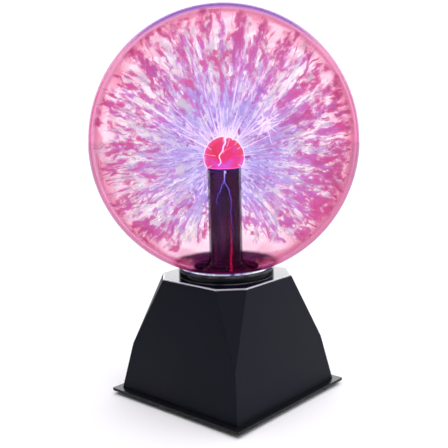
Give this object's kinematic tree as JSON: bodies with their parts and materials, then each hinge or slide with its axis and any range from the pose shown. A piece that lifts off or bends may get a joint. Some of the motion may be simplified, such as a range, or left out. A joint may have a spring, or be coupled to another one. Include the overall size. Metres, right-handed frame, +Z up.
{
  "type": "plasma ball lamp",
  "caption": "Free-standing plasma ball: a clear gas-filled glass globe with a central electrode on a black pyramid base with cut corners, rocker switch and power inlet behind.",
  "frame": {"origin": "centre of the footprint, on the plane of the rubber feet's undersides", "axes": "+Z up along the globe's axis, -Y is the front, +Y is the back wall with the switch and the inlet"},
  "size_m": [0.2, 0.2, 0.2944],
  "materials": {
    "clear_glass": "clear blown glass",
    "electrode_coating": "pink-lit conductive coating",
    "brass": "plain",
    "sleeve_black": "black insulating tube",
    "cap_white": "natural nylon",
    "gasket_black": "black silicone",
    "gloss_black": "polished black ABS",
    "satin_black": "satin black ABS",
    "screw_steel": "zinc plated",
    "feet_rubber": "black rubber",
    "board_green": "green solder mask",
    "ferrite": "dark ferrite",
    "copper_wire": "enamelled copper",
    "lead_red": "red silicone insulation",
    "sink_aluminium": "plain extrusion",
    "chip_black": "black epoxy",
    "can_blue": "dark blue sleeve",
    "film_red": "red-brown epoxy",
    "resistor_tan": "tan lacquer",
    "plated_steel": "nickel plated",
    "wire_black": "PVC insulation",
    "wire_grey": "PVC insulation"
  },
  "bodies": {
    "lamp": {"glass_globe": "clear_glass", "glass_stem": "clear_glass", "exhaust_tip": "clear_glass", "electrode_ball": "electrode_coating", "electrode_rod": "brass", "stem_sleeve": "sleeve_black", "stem_bushing": "sleeve_black", "neck_cap": "cap_white", "globe_gasket": "gasket_black", "collar_ring": "gloss_black", "collar_screws": "screw_steel", "base_shell": "satin_black", "foot_plate": "gloss_black", "cover_screws": "screw_steel", "rubber_feet": "feet_rubber", "circuit_board": "board_green", "board_screws": "screw_steel", "core_lower": "ferrite", "core_upper": "ferrite", "core_strap": "screw_steel", "secondary_bobbin": "cap_white", "secondary_winding": "copper_wire", "primary_winding": "copper_wire", "hv_lead": "lead_red", "heat_sink": "sink_aluminium", "power_transistor": "chip_black", "transistor_screw": "screw_steel", "control_chip": "chip_black", "filter_capacitors": "can_blue", "film_capacitor": "film_red", "resistors": "resistor_tan", "rectifier_diode": "chip_black", "microphone_capsule": "sink_aluminium", "board_headers": "cap_white", "jack_housing": "gloss_black", "jack_pin": "brass", "jack_nut": "plated_steel", "jack_tags": "plated_steel", "jack_wires": "wire_black", "switch_housing": "gloss_black", "rocker_pin": "screw_steel", "switch_terminals": "brass", "switch_wires": "wire_grey"},
    "rocker": {"switch_rocker": "gloss_black", "rocker_plunger": "brass", "plunger_spring": "screw_steel"},
    "blade": {"contact_blade": "copper_wire"}
  },
  "joints": [
    {"name": "rocker_tilt", "type": "hinge", "parent": "lamp", "child": "rocker", "pos_m": [-0.017, 0.0514, 0.02954], "axis": [1, 0, 0], "range_deg": [-20, 0]},
    {"name": "blade_tilt", "type": "hinge", "parent": "lamp", "child": "blade", "pos_m": [-0.017, 0.04447, 0.02826], "axis": [1, 0, 0], "range_deg": [0, 16]}
  ],
  "couplings": [
    {"joint": "blade_tilt", "follows": "rocker_tilt", "ratio": -0.8}
  ]
}
